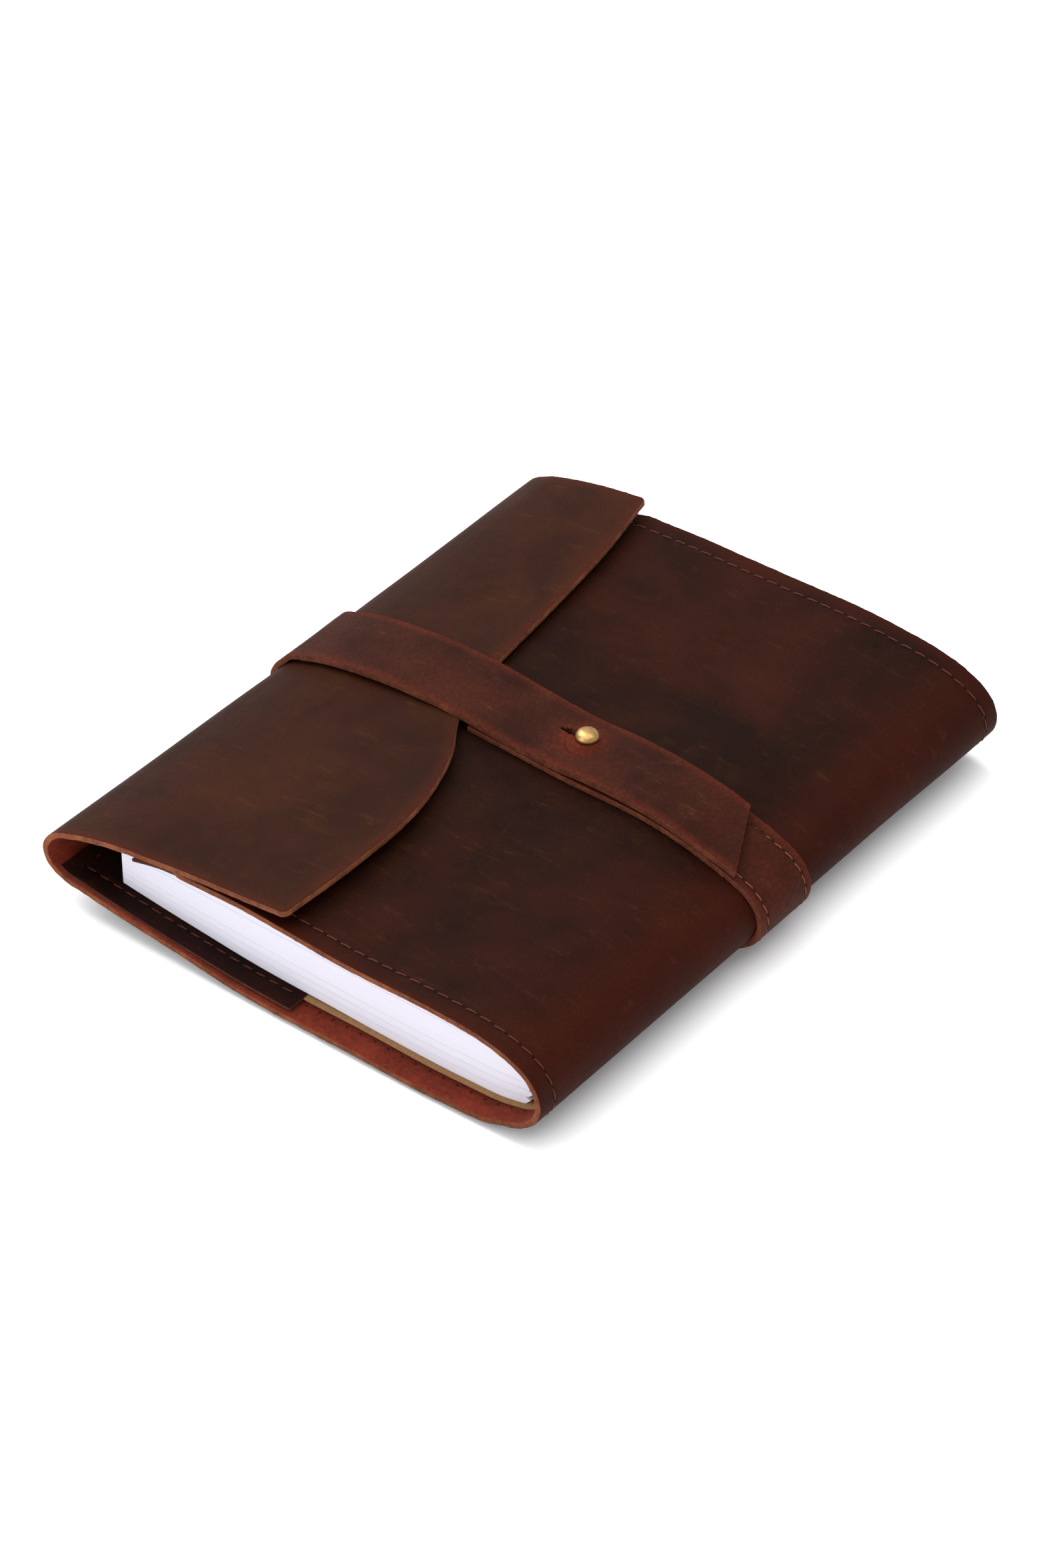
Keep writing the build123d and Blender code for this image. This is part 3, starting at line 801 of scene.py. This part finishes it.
def makeStud():
    low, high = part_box("stud")
    centre = Vector(((low[0] + high[0]) / 2, (low[1] + high[1]) / 2, 0))
    top, base = high[2], low[2]
    # radius in mm and height: domed head, neck, foot
    profile = [(0.0, top), (1.4, top - 0.03 * mm), (2.5, top - 0.32 * mm), (3.25, top - 0.9 * mm),
               (3.72, top - 1.75 * mm), (3.8, top - 2.3 * mm), (3.62, top - 2.85 * mm),
               (3.1, top - 3.15 * mm), (2.4, top - 3.3 * mm), (2.15, top - 3.9 * mm),
               (2.1, top - 4.8 * mm), (2.5, base + 0.6 * mm), (3.2, base + 0.5 * mm), (3.2, base), (0.0, base)]
    bpy.ops.object.select_all(action="DESELECT")
    bpy.ops.mesh.primitive_circle_add(vertices=len(profile), radius=0.001)
    piece = bpy.context.object
    piece.name = piece.data.name = "brassStud"
    for vertex, (radius, z) in zip(piece.data.vertices, profile):
        vertex.co = (radius * mm, 0, z)
    pick(piece)
    bpy.ops.object.mode_set(mode="EDIT")
    bpy.ops.mesh.select_all(action="SELECT")
    bpy.ops.mesh.spin(steps=48, angle=2 * pi, center=(0, 0, 0), axis=(0, 0, 1))
    bpy.ops.mesh.select_all(action="SELECT")
    bpy.ops.mesh.remove_doubles(threshold=0.000002)
    bpy.ops.mesh.normals_make_consistent(inside=False)
    bpy.ops.object.mode_set(mode="OBJECT")
    piece.data.transform(Matrix.Translation(centre))
    useModifier(piece, "SUBSURF", levels=1, render_levels=1)
    pick(piece)
    bpy.ops.object.shade_smooth()
    dress(piece, brass)
    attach(piece, "stud_strap")
    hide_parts("stud")
    return piece


makeStud()
dress(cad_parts["stud_screw"], brass)
print("stud made")


block = {"left": -70.3, "wide": 150, "roofLeft": 26.6, "roofRight": 27.8, "count": 8, "foot": -103.7,
         "long": 203.0, "station": 2.4, "stations": 66}


def blockFloor(x):                   # underside of the page block: on the pocket, then on the card
    s = whereX(hideRun, x, foldS, spineS)
    outer = onRun(hideRun, s)[0]
    ahead = onRun(hideRun, s + 1.0)[0]
    lean = (ahead - outer).normalized().x
    return outer.y + (hide["thick"] + 1.25 - 0.65 * smooth(2.0, 26.0, x)) / lean


stationsX = [block["left"] + i * block["station"] for i in range(block["stations"])]
floorAt = [(x, blockFloor(x)) for x in stationsX]


def blockLevel(x, share):            # height at a share of the way from the block's floor to its roof
    i = min(int((x - block["left"]) / block["station"]), block["stations"] - 2)
    (x0, z0), (x1, z1) = floorAt[i], floorAt[i + 1]
    low = z0 + (z1 - z0) * (x - x0) / (x1 - x0)
    rise = block["roofRight"] - block["roofLeft"]
    high = block["roofLeft"] + rise * (x - block["left"]) / block["wide"]
    return low + (high - low) * share


def makeSignature(name, body, cadNode, index):
    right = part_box(cadNode)[1][0] / mm
    wide = right - block["left"]
    spread = noise.noise(Vector((index * 3.7, 1.3, 0.2)))
    long = block["long"] + 0.2 * spread
    bpy.ops.object.select_all(action="DESELECT")
    bpy.ops.mesh.primitive_grid_add(x_subdivisions=90, y_subdivisions=40, size=2)
    piece = bpy.context.object
    piece.name = piece.data.name = name

    def leafPoint(u, v, top):        # the fold at the spine is rounded over the last part of the width
        x = block["left"] + wide * u + 0.10 * spread * (1 - u)
        nose = max(0.0, (wide * u - (wide - 1.2)) / 1.2)
        low = blockLevel(x, index / block["count"] + 0.001)
        high = blockLevel(x, (index + 1) / block["count"] - 0.001)
        half = (high - low) / 2 * sqrt(max(0.0, 1 - nose * nose))
        y = block["foot"] + long * v - 0.1 * spread
        return settle(Vector((x, y, (low + high) / 2 + (half if top else -half)))) * mm

    for vertex in piece.data.vertices:
        vertex.co = leafPoint((vertex.co.x + 1) / 2, (vertex.co.y + 1) / 2, True)
    pick(piece)
    bpy.ops.object.mode_set(mode="EDIT")
    bpy.ops.mesh.select_all(action="SELECT")
    bpy.ops.mesh.extrude_region_move(TRANSFORM_OT_translate={"value": (0, 0, -1.0 * mm)})
    bpy.ops.object.mode_set(mode="OBJECT")
    for vertex in piece.data.vertices:
        if vertex.select:
            u = (vertex.co.x / mm - block["left"] - 0.10 * spread) / (wide - 0.10 * spread)
            v = (vertex.co.y / mm - block["foot"] + 0.1 * spread) / long
            vertex.co = leafPoint(min(u, 1.0), v, False)
    pick(piece)
    bpy.ops.object.mode_set(mode="EDIT")
    bpy.ops.mesh.select_all(action="SELECT")
    bpy.ops.mesh.normals_make_consistent(inside=False)
    bpy.ops.object.mode_set(mode="OBJECT")
    bpy.ops.object.shade_smooth_by_angle(angle=radians(40))
    dress(piece, paper)
    if body == "top_pages":
        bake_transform(piece)
    else:
        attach(piece, body)
    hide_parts(cadNode)
    return piece


for number in range(1, 8):
    makeSignature("signature%d" % number, "back", "signature_%d" % number, number - 1)
makeSignature("signature8", "top_pages", "signature_8", 7)
print("pages made")


def makeCard(name, s0, s1, body):
    low, high = [corner[1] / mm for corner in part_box("kraft_card_back")]

    def place(u, v):
        s = s0 + (s1 - s0) * u
        y = high + (low - 1.2 - high) * v
        return onHide(s, y, -hide["thick"] - 0.05), s, y, 0.0

    piece = gridSheet(name, int(abs(s1 - s0) / 2.0), 60, place)
    dress(piece, card, card, card)
    thicken(piece, 0.6, bevel=0.06, ragged=0.03)
    if body:
        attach(piece, body)
    else:
        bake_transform(piece)
    return piece


cardEnd = whereX(hideRun, -58.0, shoulderS, hideRun["end"])
kraft = makeCard("kraftCard", whereX(hideRun, -66.0, foldS, middleS), cardEnd, None)
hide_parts("kraft_card_back", "kraft_card_front")


pocket = {"thick": 0.95, "short": 0.4, "frontShort": 1.6, "room": 0.3}


def makePocket(name, s0, s1, mouth, cadNode, body):
    columns = int(abs(s1 - s0) / 1.3)
    half = hide["coverEnd"] - pocket["short" if body == "back" else "frontShort"]
    sewn = s1 if mouth == s0 else s0

    def place(u, v):
        s = s0 + (s1 - s0) * u
        y = half * (2 * v - 1)
        inset = half - abs(y)
        gap = 0.02 + pocket["room"] * smooth(4.0, 11.0, inset) * smooth(1.0, 9.0, abs(s - sewn))
        near = max(nearCut(inset, 3.0), nearCut(min(abs(s - s0), abs(s1 - s)), 3.0))
        return onHide(s, y, -hide["thick"] - gap - pocket["thick"]), s, y, near

    piece = gridSheet(name, columns, int(2 * half / 1.3), place)
    dress(piece, pocketGrain, shadedPocketEdge, suede)
    thicken(piece, pocket["thick"], bevel=0.18, ragged=0.05)
    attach(piece, body)
    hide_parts(cadNode)
    return piece


backMouth = whereX(hideRun, 0.0, foldS, spineS)
frontMouth = whereX(hideRun, 0.0, shoulderS, hideRun["end"])
makePocket("backPocket", whereX(hideRun, -88.5, foldS, middleS), backMouth, backMouth, "back_pocket", "back")
makePocket("frontPocket", frontMouth, whereX(hideRun, -60.0, shoulderS, hideRun["end"]), frontMouth,
           "front_pocket", "front")
print("card and pockets made")


def makeStitch(length, wide):
    bpy.ops.object.select_all(action="DESELECT")
    bpy.ops.mesh.primitive_cylinder_add(vertices=8, radius=wide / 2, depth=length, end_fill_type="NOTHING")
    piece = bpy.context.object
    piece.name = "stitchPattern"
    pick(piece)
    bpy.ops.object.mode_set(mode="EDIT")
    for share in (0, 0.33, -0.33):
        bpy.ops.mesh.select_all(action="SELECT")
        bpy.ops.mesh.bisect(plane_co=(0, 0, length * share), plane_no=(0, 0, 1))
    bpy.ops.mesh.select_all(action="SELECT")
    bpy.ops.mesh.edge_face_add()
    bpy.ops.mesh.normals_make_consistent(inside=False)
    bpy.ops.object.mode_set(mode="OBJECT")
    for vertex in piece.data.vertices:
        x, y, z = vertex.co
        t = 2 * z / length
        slim = 1 - 0.35 * t * t
        vertex.co = (z, y * slim, x * slim * 0.8 - 0.62 * t ** 4)     # lies along x and dips at both ends
    bpy.ops.object.shade_smooth()
    return piece


def stitchRow(name, pattern, placeAt, places, body, nodes=()):
    copies = []
    for at in places:
        place, along, out = placeAt(at)
        side = out.cross(along).normalized()
        lean = 0.08 + 0.09 * noise.noise(Vector((at, place.y, 2.0)))
        along = (along + side * lean).normalized()
        side = out.cross(along).normalized()
        copy = pattern.copy()
        copy.data = pattern.data.copy()
        bpy.context.collection.objects.link(copy)
        turn = Matrix((along, side, out)).transposed().to_4x4()
        copy.data.transform(Matrix.Scale(mm, 4) @ Matrix.Translation(place) @ turn)
        copies.append(copy)
    bpy.ops.object.select_all(action="DESELECT")
    for copy in copies:
        copy.select_set(True)
    bpy.context.view_layer.objects.active = copies[0]
    bpy.ops.object.join()
    piece = bpy.context.object
    piece.name = piece.data.name = name
    dress(piece, strapThread if name.startswith("strap") else thread)
    if isinstance(body, tuple):
        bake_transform(piece)
    else:
        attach(piece, body)
    if nodes:
        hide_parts(*nodes)
    return piece


def outOf(slope, away):              # off the grain side, or inwards for a row inside the cover
    return slope.cross(Vector((0, -1, 0))).normalized() * (1 if away >= -1 else -1)


def onCover(y, away):
    def placeAt(s):
        here, ahead = onHide(s, y, away), onHide(s + 0.4, y, away)
        along = (ahead - here).normalized()
        return here, along, outOf(along, away)
    return placeAt


def acrossCover(s, away):
    def placeAt(y):
        here, ahead = onHide(s, y, away), onHide(s, y + 0.4, away)
        slope = (onHide(s + 0.4, y, away) - here).normalized()
        return here, (ahead - here).normalized(), outOf(slope, away)
    return placeAt


pattern = makeStitch(4.7, 0.52)
fine = makeStitch(3.7, 0.5)
spineBlend = ("back", "front", (0.088, 0, 0.0212), (0.0863, 0, 0.03245))
lie = 0.10
inner = -hide["thick"] - pocket["thick"] - 0.1
acrossFoot, acrossHead = footY + 3.0, headY - 3.0
for label, row, y, nodes in (("foot", footRow, footY, ("front_edge_stitching", "back_edge_stitching")),
                             ("head", headRow, headY, ())):
    onFront = [s for s in row["places"] if s > middleS + 2]
    onBack = [s for s in row["places"] if s < middleS - 2]
    inPocket = [s for s in row["places"] if s < backMouth - 1]
    stitchRow(label + "Stitching", pattern, onCover(y, lie), onFront, spineBlend, nodes)
    stitchRow(label + "BackStitching", pattern, onCover(y, lie), onBack, "back")
    stitchRow(label + "PocketStitching", pattern, onCover(y, inner), inPocket, "back")
across = sewnRow(frontRowEnd, acrossFoot, acrossHead, 5.0)["places"]
besideStrap = [y for y in across if not strap["foldEdges"][0] - 3 < y < strap["foldEdges"][1] + 3]
stitchRow("frontPocketStitching", pattern, acrossCover(frontRowEnd, lie), across, "front",
          ("front_pocket_stitching",))
stitchRow("backPocketStitching", pattern, acrossCover(backRowStart, lie), besideStrap, "back",
          ("back_pocket_stitching",))
stitchRow("sidePocketStitching", pattern, acrossCover(backRowStart, inner), across, "back")
strapAway = strap["thick"] + strap["lie"] + lie
stitchRow("strapFootStitching", fine, onCover(strapFootY, strapAway), strapFootRow["places"], spineBlend,
          ("strap_stitching",))
stitchRow("strapHeadStitching", fine, onCover(strapHeadY, strapAway), strapHeadRow["places"], spineBlend)
for made in (pattern, fine):
    bpy.data.objects.remove(made)
dress(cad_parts["binding_thread"], paper)
print("stitching made")


studio = {"azimuth": 38.1, "elevation": 38.6, "place": (0.7180, -0.9193, 0.9482), "lens": 114.8}


def makeStudio():
    bpy.ops.object.select_all(action="DESELECT")
    bpy.ops.object.camera_add(location=studio["place"],
                              rotation=(radians(90 - studio["elevation"]), 0, radians(studio["azimuth"])))
    camera = bpy.context.object
    camera.name = "camera"
    camera.data.lens = studio["lens"]
    camera.data.sensor_width = 36
    camera.data.clip_end = 20
    bpy.context.scene.camera = camera
    bpy.ops.mesh.primitive_plane_add(size=8, location=(0, 0, -0.0004))
    floor = bpy.context.object
    floor.name = "floor"
    material, _, shader, _ = newMaterial("paleFloor")
    shader.inputs["Base Color"].default_value = (0.95, 0.95, 0.955, 1)
    shader.inputs["Roughness"].default_value = 0.8
    shader.inputs["Specular IOR Level"].default_value = 0.1
    dress(floor, material)
    for name, place, size, power, tint in (
            ("windowLight", (-1.3, 0.2, 1.7), 1.6, 32.0, (1.0, 0.99, 0.98)),
            ("foreLight", (-0.5, -1.7, 1.1), 1.8, 17.0, (0.97, 0.98, 1.0)),
            ("topLight", (0.3, -0.1, 2.1), 2.0, 28.0, (1.0, 1.0, 1.0))):
        bpy.ops.object.light_add(type="AREA", location=place)
        light = bpy.context.object
        light.name = name
        light.data.energy = power
        light.data.size = size
        light.data.color = tint
        light.rotation_euler = (Vector((0, 0, 0.02)) - Vector(place)).to_track_quat("-Z", "Y").to_euler()
    world = bpy.data.worlds.new("paleRoom")
    world.use_nodes = True
    world.node_tree.nodes["Background"].inputs["Color"].default_value = (1, 1, 1, 1)
    world.node_tree.nodes["Background"].inputs["Strength"].default_value = 0.90
    bpy.context.scene.world = world
    bpy.context.scene.view_settings.view_transform = "Standard"


makeStudio()
print("studio made")
